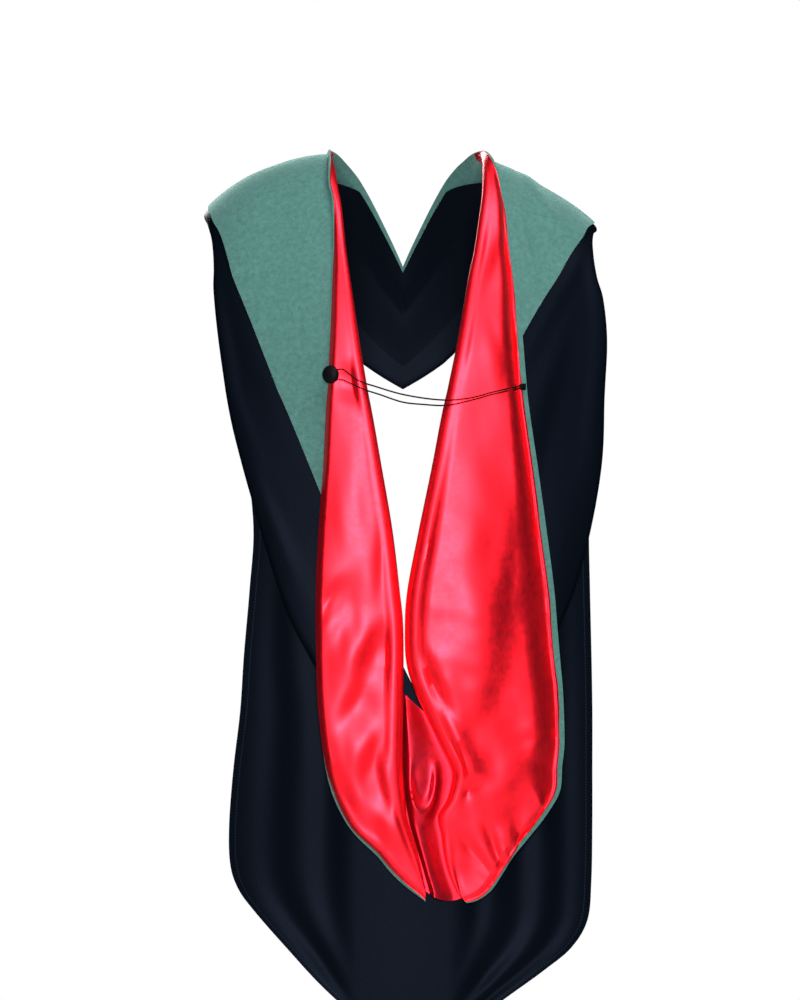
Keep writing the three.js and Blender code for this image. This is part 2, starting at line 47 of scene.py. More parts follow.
# The hood's own sizes, as in the part
hood = {
    "shoulderHalf": 206.0,
    "leftDrop": 64.0,
    "rightDrop": 84.0,
    "neckFlat": 60.0,
    "cowlDrop": 861.0,
    "panelDrop": 1014.0,
    "frontDrop": 308.0,
    "seatSink": 12.0,
    "backDepth": 140.0,
    "backRise": 248.0,
    "chestDepth": 120.0,
    "chestRise": 220.0,
    "sideTuck": 45.0,
    "hangLean": 0.02,
}
cloth = {"panel": 1.2, "shell": 1.2, "trim": 1.6, "lining": 1.0}
cowl = {
    "lapelWidth": 163.0,
    "trimWidth": 127.0,
    "lobeRoll": 13.0,
    "pipingWidth": 7.0,
    "slopeShare": 0.6,
    "lipWidth": {-1: 0.5, 1: 3.0},  # level strip at the lapel's edge, left and right
    "bead": {-1: 0.3, 1: 1.5},  # the lining's edge rolled over the trim
    "beadFrom": 1.6,
    "beadHalf": 1.3,
    "capeRise": 6.0,
    "capeRoll": 4.0,
    "capeWide": 90.0,
    "facingDip": 4.0,
    "turnUnder": 22.0,
    "liningUnder": 30.0,
    "panelLap": 2.0,
    "lapFrom": 90.0,
    "lapTo": 50.0,
}
gap = {"seam": 0.5, "shell": 0.8, "layer": 1.2, "rest": 0.35, "round": 2.5}

# Levels above the seat at which the middle of each layer lies
panelLevel = gap["layer"] + cloth["panel"] / 2
underShellLevel = panelLevel + (cloth["panel"] + cloth["shell"]) / 2 + gap["rest"]
throatLevel = panelLevel + cowl["panelLap"] + (cloth["panel"] + cloth["lining"]) / 2 + gap["rest"]
liningUnderLevel = throatLevel + cloth["lining"] + gap["rest"]
layerStep = (cloth["trim"] + cloth["lining"]) / 2 + gap["seam"]
trimLevel = liningUnderLevel + layerStep
shellLevel = trimLevel - (cloth["trim"] + cloth["shell"]) / 2 - gap["shell"]
mouthLevel = trimLevel + cloth["trim"] + gap["seam"]

# fold, down, tilt, lapel, turn, roll, seam, cape, piping, facing
columns = ["fold", "down", "tilt", "lapel", "turn", "roll", "seam", "cape", "piping", "facing"]
leftCowl = [
    [0.000, -0.662, -90, 0.05, 25, 0.35, 0.70, 0.510, 0.2, 0],
    [0.126, -0.516, -64, 0.05, 25, 0.35, 0.72, 0.520, 0.2, 0],
    [0.252, -0.344, -48, 0.05, 35, 0.35, 0.75, 0.530, 0.2, 0],
    [0.360, -0.172, -24, 0.04, 35, 0.30, 0.79, 0.550, 0.2, 1],
    [0.405, 0.000, 0, 0.02, 60, 0.20, 0.91, 0.602, 0.2, 1],
    [0.354, 0.110, 0, 0.06, 130, 0.23, 0.99, 0.644, 0.2, 1],
    [0.327, 0.156, 0, 0.06, 140, 0.25, 1.00, 0.664, 0.2, 1],
    [0.300, 0.212, 0, 0.08, 160, 0.30, 0.99, 0.690, 0.2, 1],
    [0.275, 0.249, 0, 0.116, 175, 0.35, 0.965, 0.716, 0.2, 1],
    [0.228, 0.313, 0, 0.187, 180, 0.42, 0.856, 0.736, 0.2, 1],
    [0.166, 0.384, 0, 0.29, 180, 0.50, 0.73, 0.745, 0.2, 1],
    [0.111, 0.458, 0, 0.377, 180, 0.58, 0.61, 0.724, 0.2, 1],
    [0.054, 0.538, 0, 0.476, 180, 0.65, 0.48, 0.684, 0.2, 1],
    [0.017, 0.612, 0, 0.54, 180, 0.70, 0.30, 0.625, 0.2, 1],
    [-0.002, 0.660, 0, 0.565, 180, 0.73, 0.25, 0.565, 0.2, 1],
    [-0.002, 0.742, 0, 0.557, 180, 0.77, 0.20, 0.390, 0.2, 1],
    [0.004, 0.830, -3, 0.503, 180, 0.77, 0.20, 0.330, 0.2, 1],
    [-0.012, 0.872, 20, 0.42, 180, 0.69, 0.18, 0.270, 0.25, 1],
    [-0.038, 0.905, 47, 0.30, 180, 0.54, 0.16, 0.190, 0.3, 1],
    [-0.085, 0.942, 49, 0.21, 180, 0.35, 0.10, 0.110, 0.4, 1],
    [-0.140, 0.988, 90, 0.08, 180, 0.19, 0.05, 0.050, 0.3, 1],
]
rightCowl = [
    [0.000, -0.662, -90, 0.05, 25, 0.35, 0.70, 0.510, 0.2, 0],
    [0.126, -0.516, -64, 0.05, 25, 0.35, 0.72, 0.520, 0.2, 0],
    [0.252, -0.344, -48, 0.05, 35, 0.35, 0.75, 0.530, 0.2, 0],
    [0.365, -0.172, -24, 0.04, 40, 0.30, 0.78, 0.545, 0.2, 1],
    [0.415, 0.000, 0, 0.03, 90, 0.20, 0.88, 0.561, 0.2, 1],
    [0.408, 0.110, 0, 0.107, 160, 0.31, 0.85, 0.566, 0.3, 1],
    [0.400, 0.156, 0, 0.159, 175, 0.35, 0.83, 0.585, 0.4, 1],
    [0.374, 0.212, 0, 0.23, 180, 0.42, 0.76, 0.641, 0.5, 1],
    [0.341, 0.249, 0, 0.297, 180, 0.50, 0.70, 0.707, 0.6, 1],
    [0.286, 0.313, 0, 0.397, 180, 0.62, 0.53, 0.782, 0.7, 1],
    [0.210, 0.384, 0, 0.53, 180, 0.72, 0.36, 0.840, 0.75, 1],
    [0.150, 0.458, 0, 0.661, 180, 0.81, 0.22, 0.884, 0.8, 1],
    [0.081, 0.538, 0, 0.803, 180, 0.92, 0.22, 0.896, 0.9, 1],
    [0.022, 0.612, 0, 0.928, 180, 1.00, 0.22, 0.870, 0.9, 1],
    [0.009, 0.660, 0, 0.966, 180, 1.00, 0.22, 0.800, 0.9, 1],
    [0.018, 0.704, 0, 0.977, 180, 1.00, 0.22, 0.730, 0.85, 1],
    [0.070, 0.742, 0, 0.931, 180, 1.00, 0.22, 0.650, 0.8, 1],
    [0.187, 0.802, 0, 0.795, 180, 0.92, 0.20, 0.500, 0.75, 1],
    [0.244, 0.830, 2, 0.71, 180, 0.85, 0.20, 0.440, 0.7, 1],
    [0.254, 0.848, 8, 0.69, 180, 0.77, 0.20, 0.400, 0.65, 1],
    [0.228, 0.874, 9, 0.645, 180, 0.65, 0.20, 0.380, 0.6, 1],
    [0.180, 0.896, 15, 0.59, 180, 0.50, 0.18, 0.340, 0.5, 1],
    [0.195, 0.918, 18, 0.485, 180, 0.38, 0.16, 0.280, 0.4, 1],
    [0.208, 0.942, 21, 0.40, 180, 0.31, 0.14, 0.200, 0.3, 1],
    [0.232, 0.966, 27, 0.29, 180, 0.23, 0.10, 0.110, 0.3, 1],
    [0.270, 0.991, 50, 0.09, 180, 0.17, 0.04, 0.040, 0.3, 1],
]

# outer, outerDown, inner, innerDown
leftPanelRows = [
    [0.80, 0.10, 0.52, 0.10],
    [0.89, 0.19, 0.48, 0.19],
    [0.89, 0.29, 0.40, 0.29],
    [0.82, 0.38, 0.30, 0.38],
    [0.78, 0.455, 0.20, 0.455],
    [0.80, 0.52, 0.12, 0.52],
    [0.83, 0.59, 0.02, 0.59],
    [0.85, 0.65, -0.12, 0.65],
    [0.885, 0.71, -0.20, 0.71],
    [0.908, 0.77, -0.22, 0.77],
    [0.903, 0.812, -0.22, 0.812],
    [0.862, 0.838, -0.21, 0.85],
    [0.779, 0.861, -0.20, 0.885],
    [0.602, 0.901, -0.18, 0.925],
    [0.416, 0.941, -0.15, 0.955],
    [0.220, 0.975, -0.12, 0.977],
    [0.050, 0.994, -0.10, 0.988],
]
rightPanelRows = [
    [0.80, 0.10, 0.55, 0.10],
    [0.95, 0.19, 0.52, 0.19],
    [1.00, 0.29, 0.46, 0.29],
    [0.985, 0.38, 0.38, 0.38],
    [0.972, 0.455, 0.30, 0.455],
    [0.977, 0.52, 0.24, 0.52],
    [0.985, 0.59, 0.21, 0.59],
    [0.99, 0.65, 0.20, 0.65],
    [0.99, 0.71, 0.20, 0.71],
    [0.99, 0.77, 0.20, 0.77],
    [0.985, 0.83, 0.20, 0.83],
    [0.965, 0.872, 0.19, 0.868],
    [0.880, 0.901, 0.16, 0.895],
    [0.738, 0.924, 0.13, 0.92],
    [0.561, 0.949, 0.09, 0.945],
    [0.340, 0.980, 0.05, 0.97],
    [0.150, 0.996, 0.02, 0.988],
]

# left, leftDown, right, rightDown
throatRows = [
    [-0.07, 0.725, 0.16, 0.775],
    [-0.07, 0.755, 0.21, 0.800],
    [-0.07, 0.790, 0.28, 0.822],
    [-0.07, 0.825, 0.33, 0.845],
    [-0.06, 0.855, 0.33, 0.866],
    [-0.05, 0.882, 0.31, 0.888],
    [-0.03, 0.907, 0.27, 0.910],
    [0.00, 0.930, 0.27, 0.932],
    [0.04, 0.950, 0.31, 0.952],
    [0.07, 0.962, 0.33, 0.968],
    [0.08, 0.972, 0.35, 0.979],
    [0.09, 0.981, 0.36, 0.988],
]

cordRoute = [
    [124.9, -140.4, -254.9], [120.8, -144.0, -256.2], [114.2, -152.1, -257.2], [108.0, -157.4, -258.4],
    [93.0, -160.9, -261.8], [82.4, -163.2, -264.9], [70.0, -165.8, -268.0], [52.0, -168.1, -272.0],
    [41.0, -166.0, -273.0], [22.0, -161.0, -272.0], [0.0, -159.9, -269.6], [-24.6, -160.4, -261.5],
    [-40.0, -161.3, -256.5], [-49.2, -161.1, -252.5], [-58.0, -159.8, -248.6], [-64.5, -157.7, -245.8],
    [-69.5, -154.6, -245.2], [-75.1, -150.4, -244.6], [-77.9, -148.7, -243.2], [-79.1, -148.1, -240.0],
    [-77.9, -148.7, -236.8], [-75.1, -150.4, -235.4], [-69.5, -154.5, -234.6], [-64.2, -157.5, -234.6],
    [-58.0, -159.2, -239.0], [-51.4, -160.2, -244.0], [-42.0, -160.6, -248.8], [-30.0, -160.5, -252.6],
    [-3.2, -160.0, -260.6], [23.5, -161.7, -265.4], [41.0, -166.1, -267.0], [52.0, -167.8, -267.0],
    [70.0, -165.6, -265.2], [82.4, -163.0, -262.5], [93.0, -160.7, -259.5], [108.0, -157.2, -256.0],
    [114.2, -151.9, -254.8], [120.8, -143.8, -253.7], [124.9, -140.4, -252.3],
]


# The camera is a long way off and looks a little downwards. Scale is millimetres to a pixel of the
# 800 by 1000 picture in the plane of the hood's back, above is in degrees.
view = {"scale": 1.07, "middleX": -3.2, "middleZ": -374.5, "plane": -150.0, "lens": 300.0, "above": 2.0}


def placeCamera():
    lens = bpy.data.cameras.new("camera")
    lens.sensor_fit = "VERTICAL"
    lens.sensor_height = 36.0
    lens.lens = view["lens"]
    camera = bpy.data.objects.new("camera", lens)
    bpy.context.scene.collection.objects.link(camera)
    distance = view["scale"] * 1000 * view["lens"] / 36.0  # a frame of 1000 rows
    angle = math.radians(view["above"])
    back = view["plane"] - distance * math.cos(angle)
    height = view["middleZ"] + distance * math.sin(angle)
    camera.location = (view["middleX"] * mm, back * mm, height * mm)
    camera.rotation_euler = (math.pi / 2 - angle, 0, 0)
    bpy.context.scene.camera = camera


placeCamera()


def smooth(x, low, high):
    t = np.clip((np.asarray(x, float) - low) / (high - low), 0, 1)
    return t * t * (3 - 2 * t)


def mix(a, b, t):
    return a + (b - a) * t


def seat(across, down):
    across, down = np.broadcast_arrays(np.asarray(across, float), np.asarray(down, float))
    behind = down > 0
    depth = np.where(behind, hood["backDepth"], hood["chestDepth"])
    rise = np.where(behind, hood["backRise"], hood["chestRise"])
    arc = (math.pi / 2) * np.sqrt((depth**2 + rise**2) / 2)
    angle = np.minimum(np.abs(down) / arc, 1) * (math.pi / 2)
    hang = np.maximum(np.abs(down) - arc, 0)
    sideShare = np.minimum(np.abs(across) / hood["shoulderHalf"], 1.2)
    local = depth - hood["sideTuck"] * sideShare**2
    power = np.where(across < 0, 2.5, 1.65)
    drop = np.where(across < 0, hood["leftDrop"], hood["rightDrop"])
    out = np.maximum(np.abs(across) - hood["neckFlat"], 0) / (hood["shoulderHalf"] - hood["neckFlat"])
    fall = drop * out**power * (1 - smooth(np.abs(down) / arc, 0, 1))
    y = local * np.sin(angle) + hood["hangLean"] * hang
    z = -hood["seatSink"] - rise * (1 - np.cos(angle)) - hang - fall
    return np.stack([across, np.where(behind, -y, y), z], axis=-1)


def above(across, down, height):
    step = 2.0
    along = seat(across + step, down) - seat(across - step, down)
    drop = seat(across, down + step) - seat(across, down - step)
    normal = np.cross(drop, along)
    normal /= np.linalg.norm(normal, axis=-1, keepdims=True)
    normal[..., 0] *= 1 - smooth(down, 60, 200)  # the back's layers lie straight behind each other
    normal /= np.linalg.norm(normal, axis=-1, keepdims=True)
    return seat(across, down) + normal * np.asarray(height, float)[..., None]


def rowAt(table, place):
    rows = np.array(table, float)
    last = len(rows) - 1
    i = min(int(place), last - 1)
    t = place - i
    a, b, c, d = (rows[min(max(k, 0), last)] for k in (i - 1, i, i + 1, i + 2))
    tangentB = (c - a) / 2
    tangentC = (d - b) / 2
    square = 3 * (c - b) - 2 * tangentB - tangentC
    cube = tangentB + tangentC - 2 * (c - b)
    return b + tangentB * t + square * t**2 + cube * t**3


def places(table, first, rows):
    return np.linspace(first, len(table) - 1, int((len(table) - 1 - first) * rows) + 1)


def sideways(points, distance):
    along = np.gradient(points, axis=0)
    along /= np.maximum(np.linalg.norm(along, axis=1, keepdims=True), 1e-9)
    return points + np.stack([along[:, 1], -along[:, 0]], axis=1) * distance


def makeWall(name, front, back):
    # a closed thin wall from the grids of points of its two faces
    front, back = np.array(front), np.array(back)
    rows, across = front.shape[:2]
    points = np.concatenate([front.reshape(-1, 3), back.reshape(-1, 3)]) * mm
    index = np.arange(2 * rows * across).reshape(2, rows, across)
    one, two = index
    quads = [
        np.stack([one[:-1, :-1], one[:-1, 1:], one[1:, 1:], one[1:, :-1]], -1).reshape(-1, 4),
        np.stack([two[:-1, :-1], two[1:, :-1], two[1:, 1:], two[:-1, 1:]], -1).reshape(-1, 4),
        np.stack([one[:-1, 0], one[1:, 0], two[1:, 0], two[:-1, 0]], -1),
        np.stack([one[1:, -1], one[:-1, -1], two[:-1, -1], two[1:, -1]], -1),
        np.stack([one[0, 1:], one[0, :-1], two[0, :-1], two[0, 1:]], -1),
        np.stack([one[-1, :-1], one[-1, 1:], two[-1, 1:], two[-1, :-1]], -1),
    ]
    faces = np.concatenate(quads)
    corners = points[faces]
    volume = np.einsum("ij,ij->i", corners[:, 0], np.cross(corners[:, 1], corners[:, 2])).sum()
    volume += np.einsum("ij,ij->i", corners[:, 0], np.cross(corners[:, 2], corners[:, 3])).sum()
    if volume < 0:
        faces = faces[:, ::-1]
    mesh = bpy.data.meshes.new(name)
    mesh.from_pydata(points.tolist(), [], faces.tolist())
    layCoordinates(mesh, rows, across, front)
    mesh.shade_smooth()
    mesh.set_sharp_from_angle(angle=sharpAngle)
    mesh.update()
    piece = bpy.data.objects.new(name, mesh)
    bpy.context.scene.collection.objects.link(piece)
    return piece


def layCoordinates(mesh, rows, across, front):
    # the cloth's own flat coordinates, in metres along and across it, for the weave and the stitches
    acrossLength = np.linalg.norm(np.diff(front, axis=1), axis=2)
    u = np.concatenate([np.zeros((rows, 1)), np.cumsum(acrossLength, axis=1)], axis=1)
    downLength = np.linalg.norm(np.diff(front, axis=0), axis=2).mean(axis=1)
    v = np.concatenate([[0], np.cumsum(downLength)])
    flat = np.stack([u, np.broadcast_to(v[:, None], u.shape)], -1).reshape(-1, 2) * mm
    flat = np.concatenate([flat, flat])
    layer = mesh.uv_layers.new(name="flat")
    corner = np.zeros(len(mesh.loops), dtype=np.int32)
    mesh.loops.foreach_get("vertex_index", corner)
    layer.data.foreach_set("uv", flat[corner].ravel().astype(np.float32))


# Soft folds of the cloth, each a long low swelling or hollow: middle, half length and half width,
# the way it runs in degrees from +X towards +Z, and how far it stands out
def folds(x, z, table):
    height = np.zeros(np.broadcast(x, z).shape)
    for middleX, middleZ, halfLength, halfWidth, turn, out in table:
        c, s = math.cos(math.radians(turn)), math.sin(math.radians(turn))
        u = ((x - middleX) * c + (z - middleZ) * s) / halfLength
        v = ((z - middleZ) * c - (x - middleX) * s) / halfWidth
        height = height + out * np.exp(-(u**2) - v**2)
    return height


# Places where the cloth leans over and back: middle, half length and half width, the way they run,
# and the slope in their middle
def leans(x, z, table):
    height = np.zeros(np.broadcast(x, z).shape)
    for middleX, middleZ, halfLength, halfWidth, turn, slope in table:
        c, s = math.cos(math.radians(turn)), math.sin(math.radians(turn))
        u = ((x - middleX) * c + (z - middleZ) * s) / halfLength
        v = ((z - middleZ) * c - (x - middleX) * s) / halfWidth
        height = height + slope * halfWidth * v / (1 + v**2) * np.exp(-(u**2))
    return height


# Slack left in the satin: many faint long waves, mostly running down it. Lengths are from crest to crest,
# ways in degrees from +X, out is the height of a wave as a share of its length.
slack = {
    "waves": 26,
    "shortest": 16,
    "longest": 90,
    "way": 20,
    "spread": 38,
    "out": 0.0042,
    "seed": {-1: 5, 1: 8},
}


def ripples(x, z, side):
    choose = np.random.default_rng(slack["seed"][side])
    height = np.zeros(np.broadcast(x, z).shape)
    for _ in range(slack["waves"]):
        length = choose.uniform(slack["shortest"], slack["longest"])
        way = math.radians(choose.normal(slack["way"], slack["spread"]))
        phase = choose.uniform(0, 2 * math.pi)
        out = slack["out"] * length * choose.uniform(0.4, 1)
        along = x * math.cos(way) + z * math.sin(way)
        height = height + out * np.sin(2 * math.pi * along / length + phase)
    return height * (0.4 + 0.6 * smooth(-z, 300, 560))  # the lower half hangs slacker


originPixel = (403, 150)  # where the origin lies in the picture, to place the folds seen there


def fold(px, py, halfLength, halfWidth, turn, out):
    x = (px - originPixel[0]) * view["scale"]
    z = (originPixel[1] - py) * view["scale"]
    return (x, z, halfLength, halfWidth, turn, out)


rightLapelFolds = [
    fold(468, 590, 105, 32, 88, 8.0),
    fold(469, 787, 12, 8, 20, -5.0),
    fold(444, 702, 34, 7, -58, -3.0),
    fold(494, 846, 28, 6, -70, -5.0),
    fold(520, 838, 16, 6, -75, -4.5),
    fold(484, 864, 20, 5, -55, -3.2),
    fold(468, 846, 14, 6, -60, -2.6),
    fold(456, 878, 20, 3, -74, -1.6),
    fold(506, 858, 16, 4, -60, 2.0),
    fold(536, 738, 18, 4, 12, -2.0),
    fold(500, 352, 34, 7, -72, -1.5),
    fold(460, 745, 40, 12, -66, 3.0),
]
rightLapelLeans = [
    fold(418, 590, 60, 14, 86, -0.65),
    fold(411, 505, 60, 9, 82, -0.45),
    fold(486, 700, 40, 14, 60, 0.30),
    fold(432, 668, 36, 12, -64, 0.75),
    fold(509, 560, 50, 12, 84, 0.30),
    fold(500, 625, 44, 18, 84, 0.35),
    fold(507, 345, 34, 12, 86, 0.60),
    fold(493, 265, 34, 12, 70, 0.35),
    fold(508, 800, 26, 18, 50, 0.45),
    fold(465, 783, 14, 12, 10, 0.60),
    fold(455, 560, 60, 30, 30, 0.12),
    fold(470, 650, 60, 30, 80, -0.12),
    fold(478, 860, 30, 14, -60, 0.40),
]
leftLapelFolds = [
    fold(356, 570, 105, 26, 94, 5.5),
    fold(331, 762, 26, 3, -68, 1.2),
    fold(338, 790, 26, 3, -62, 1.4),
    fold(326, 606, 12, 3, 62, -1.4),
    fold(331, 594, 12, 3, 55, -1.4),
    fold(322, 622, 12, 3, 60, -1.4),
    fold(360, 832, 22, 4, -28, 1.4),
    fold(375, 444, 6, 3, 60, -1.2),
    fold(350, 385, 22, 15, -20, -6.5),
]
leftLapelLeans = [
    fold(364, 652, 30, 13, 60, 0.85),
    fold(350, 698, 30, 12, 58, 0.75),
    fold(368, 752, 26, 13, 66, 0.85),
    fold(386, 782, 28, 11, -74, 0.80),
    fold(346, 790, 28, 13, -60, 0.65),
    fold(338, 585, 30, 20, 45, 0.40),
    fold(336, 628, 30, 14, 55, 0.40),
    fold(385, 832, 26, 13, -60, 0.50),
    fold(352, 520, 60, 28, 78, 0.12),
    fold(378, 560, 50, 12, 84, 0.35),
]
# the velvet slackens over the right shoulder, the black cloth on the capes
rightTrimFolds = [
    fold(519, 222, 44, 5, -75, 3.6),
    fold(536, 205, 44, 6, -58, 3.6),
    fold(530, 262, 40, 5, -74, 3.0),
    fold(558, 196, 34, 6, -40, 3.0),
]
leftTrimFolds = [
    fold(216, 160, 50, 16, 50, 1.4),
    fold(250, 210, 70, 18, 70, 1.2),
]
rightCapeLeans = [
    fold(560, 300, 80, 13, 62, 0.35),
    fold(545, 420, 110, 12, 74, 0.30),
    fold(590, 420, 90, 12, 84, -0.25),
    fold(575, 560, 90, 14, 80, 0.25),
]
leftCapeLeans = [
    fold(190, 260, 70, 12, -66, -0.30),
    fold(215, 360, 90, 12, -64, -0.30),
    fold(265, 500, 90, 12, -64, -0.25),
    fold(240, 470, 80, 12, -70, 0.20),
]


# the strip of the lapel that falls towards its edge: drop below the shoulder and width, left and right
slopeWidths = {
    -1: [(50, 5), (180, 7), (400, 6), (600, 6), (760, 8), (820, 7), (900, 6)],
    1: [
        (60, 7), (180, 17), (272, 15), (370, 22), (449, 31), (489, 42),
        (512, 31), (631, 28), (658, 36), (684, 30), (702, 9), (900, 6),
    ],
}


def cowlSection(table, side, place):
    row = dict(zip(columns, rowAt(table, place)))
    s = {"side": side, "roll": row["roll"] * cowl["lobeRoll"]}
    outermost = s["roll"] + layerStep + cloth["lining"] / 2
    s["down"] = row["down"] * (hood["cowlDrop"] if row["down"] > 0 else hood["frontDrop"])
    turned = float(smooth(row["turn"], 60, 180))
    s["across"] = side * (row["fold"] * hood["shoulderHalf"] + outermost * turned)
    s["tilt"] = math.radians(row["tilt"])
    s["turn"] = math.radians(row["turn"])
    s["lapel"] = max(row["lapel"] * cowl["lapelWidth"] - outermost * turned, 3.0)
    edgeDown = s["down"] + s["lapel"] * math.sin(s["tilt"])
    edgeDrop = -seat(s["across"] + side * s["lapel"] * math.cos(s["tilt"]), edgeDown)[2]
    drops, widths = zip(*slopeWidths[side])
    s["slope"] = min(np.interp(edgeDrop, drops, widths), cowl["slopeShare"] * s["lapel"])
    s["brow"] = s["lapel"] - s["slope"] - min(cowl["lipWidth"][side], 0.1 * s["lapel"])
    s["seam"] = row["seam"] * cowl["trimWidth"] - outermost * turned
    s["cape"] = row["cape"] * hood["shoulderHalf"] - outermost * turned
    s["piping"] = row["piping"] * cowl["pipingWidth"]
    s["facing"] = min(max(row["facing"], 0), 1)
    return s


def onSection(s, line):
    across = s["across"] - s["side"] * line[:, 0] * math.cos(s["tilt"])
    return above(across, s["down"] - line[:, 0] * math.sin(s["tilt"]), line[:, 1])


def lift(s, inward):
    # the cape's outer part stands off the wearer
    wide = smooth(s["cape"], 0, cowl["capeWide"])
    return cowl["capeRise"] * wide * smooth(-inward / s["cape"], 0.35, 0.95)


def lapRise(across):
    return cowl["panelLap"] * (1 - smooth(np.abs(across), cowl["lapTo"], cowl["lapFrom"]))


def shellStart(s):
    return min(cowl["liningUnder"] + gap["layer"], max(s["cape"] - 4, 4))


def lapelLine(s, distances, relief):
    # the lapel from the fold to its edge: in front it still stands out at the fold's angle
    heading = np.array([math.cos(s["turn"]), math.sin(s["turn"])])
    start = np.array([s["roll"] * math.sin(s["turn"]), trimLevel + s["roll"] * (1 - math.cos(s["turn"]))])
    free = start + distances[:, None] * heading
    fallen = smooth(distances, s["brow"], s["brow"] + s["slope"]) ** 1.5  # soft at first, then steep
    end = mouthLevel + lift(s, -s["lapel"])
    laid = np.stack([start[0] - distances, mix(start[1], end, fallen)], axis=1)
    x = s["across"] + s["side"] * distances * math.cos(s["tilt"])
    z = seat(x, s["down"] + distances * math.sin(s["tilt"]))[:, 2]
    held = smooth(distances, 0, 7) * (1 - smooth(distances, s["lapel"] - 3, s["lapel"] + 1))  # by the seams
    raised = folds(x, z, relief["folds"]) + leans(x, z, relief["leans"]) + ripples(x, z, s["side"])
    laid[:, 1] += raised * held
    return mix(free, laid, float(smooth(s["turn"], math.radians(120), math.pi)))


def placeOf(s, flats):
    # where the points of the flat part of a section lie as seen from behind
    x = s["across"] - s["side"] * flats * math.cos(s["tilt"])
    return x, seat(x, s["down"] - flats * math.sin(s["tilt"]))[:, 2]


def bodyLine(s, flats, relief, rounds=14, brows=22, slopes=16, lips=6):
    # flat part, turned fold and lapel in one line
    flats = np.asarray(flats, float)
    x, z = placeOf(s, flats)
    loose = folds(x, z, relief["trim"]) * smooth(-flats, 2, 14) if s["down"] > 0 else 0
    flat = np.stack([flats, trimLevel + lift(s, flats) + loose], axis=1)
    angle = s["turn"] * np.arange(rounds) / rounds
    bend = np.stack([s["roll"] * np.sin(angle), trimLevel + s["roll"] * (1 - np.cos(angle))], axis=1)
    fallEnd = s["brow"] + s["slope"]
    distances = np.concatenate([
        np.linspace(0, s["brow"], brows, endpoint=False),
        np.linspace(s["brow"], fallEnd, slopes, endpoint=False),
        np.linspace(fallEnd, s["lapel"], lips),
    ])
    return np.concatenate([flat, bend, lapelLine(s, distances, relief)])


def loft(name, table, side, first, lineAt, thickness):
    front, back = [], []
    for place in places(table, first, fine["cowl"]):
        s = cowlSection(table, side, place)
        line = lineAt(s)
        front.append(onSection(s, sideways(line, thickness / 2)))
        back.append(onSection(s, sideways(line, -thickness / 2)))
    return makeWall(name, front, back)


def trimLine(s, relief):
    start, reach = shellStart(s), max(s["seam"], 2.0)
    if reach > start + 1:
        outside = np.linspace(-reach, -start, 18, endpoint=False)
        flats = np.concatenate([outside, np.linspace(-start, 0, 6, endpoint=False)])
    else:
        flats = np.linspace(-reach, 0, 24, endpoint=False)
    line = bodyLine(s, flats, relief)
    piping = lapelLine(s, np.linspace(s["lapel"], s["lapel"] + s["piping"], 6)[1:], relief)
    return np.concatenate([line, piping])


def liningLine(s, relief):
    line = bodyLine(s, np.linspace(2 * gap["layer"] - shellStart(s), 0, 8, endpoint=False), relief)
    line = sideways(line, layerStep)
    inset = np.linalg.norm(np.diff(line, axis=0), axis=1)
    fromEdge = np.concatenate([np.cumsum(inset[::-1])[::-1], [0]])
    beaded = cowl["bead"][s["side"]] * float(smooth(s["lapel"], 6, 30))
    line[:, 1] += beaded * np.exp(-(((fromEdge - cowl["beadFrom"]) / cowl["beadHalf"]) ** 2))
    return line


def shellLine(s, relief):
    # from the lining under the fold out to the cape's edge, round it and back underneath
    inner = -shellStart(s)
    hem = [inner + gap["seam"] * (3 - i) / 3 for i in range(3)]
    edges = [mix(inward, hem[i], s["facing"]) for i, inward in enumerate((s["lapel"] - 1, 0, inner / 2))]
    seam = min(-s["seam"], inner - 1)
    end = -max(s["cape"] - cowl["capeRoll"], 2 - seam)
    under = np.linspace(inner, seam, 14, endpoint=False)
    flats = np.concatenate([edges, under, np.linspace(seam, end, 16)])
    level = shellLevel + lift(s, flats)
    level[:3] -= cowl["facingDip"] * (1 - s["facing"])
    x, z = placeOf(s, flats)
    loose = smooth(seam - flats, 4, 30) * smooth(flats - end, 0, 16) * smooth(s["down"], 20, 90)
    level += leans(x, z, relief["cape"]) * loose
    lapped = lapRise(s["across"] - s["side"] * end)
    lowLevel = underShellLevel + lapped + gap["round"] * (1 - smooth(s["down"], 300, 360))
    roll = (level[-1] - lowLevel) / 2
    angle = math.pi * np.arange(1, 9) / 8
    bend = np.stack([end - roll * np.sin(angle), lowLevel + roll * (1 + np.cos(angle))], axis=1)
    last = min(end + cowl["turnUnder"], edges[0] - 1)
    turned = np.stack([np.linspace(end, last, 5)[1:], np.full(4, float(lowLevel))], axis=1)
    line = np.concatenate([np.stack([flats, level], axis=1), bend, turned])
    return line[::-1]


# long hollows down each panel: share of its width, half width as a share, depth
panelFolds = [(0.2, 0.09, 5), (0.48, 0.12, 7), (0.78, 0.09, 4)]


def makePanel(name, table, side):
    front, back = [], []
    t = np.linspace(0, 1, fine["panelAcross"])
    for place in places(table, 0, fine["panel"]):
        outer, outerDown, inner, innerDown = rowAt(table, place)
        across = side * hood["shoulderHalf"] * mix(outer, inner, t)
        down = hood["panelDrop"] * mix(outerDown, innerDown, t)
        sunk = sum(depth * np.exp(-(((t - at) / width) ** 2)) for at, width, depth in panelFolds)
        clear = smooth(np.abs(across), cowl["lapTo"], cowl["lapFrom"])
        lapped = lapRise(across) if side > 0 else 0
        height = panelLevel + lapped - sunk * clear * float(smooth(place, 3, 8))
        front.append(above(across, down, height + cloth["panel"] / 2))
        back.append(above(across, down, height - cloth["panel"] / 2))
    return makeWall(name, front, back)


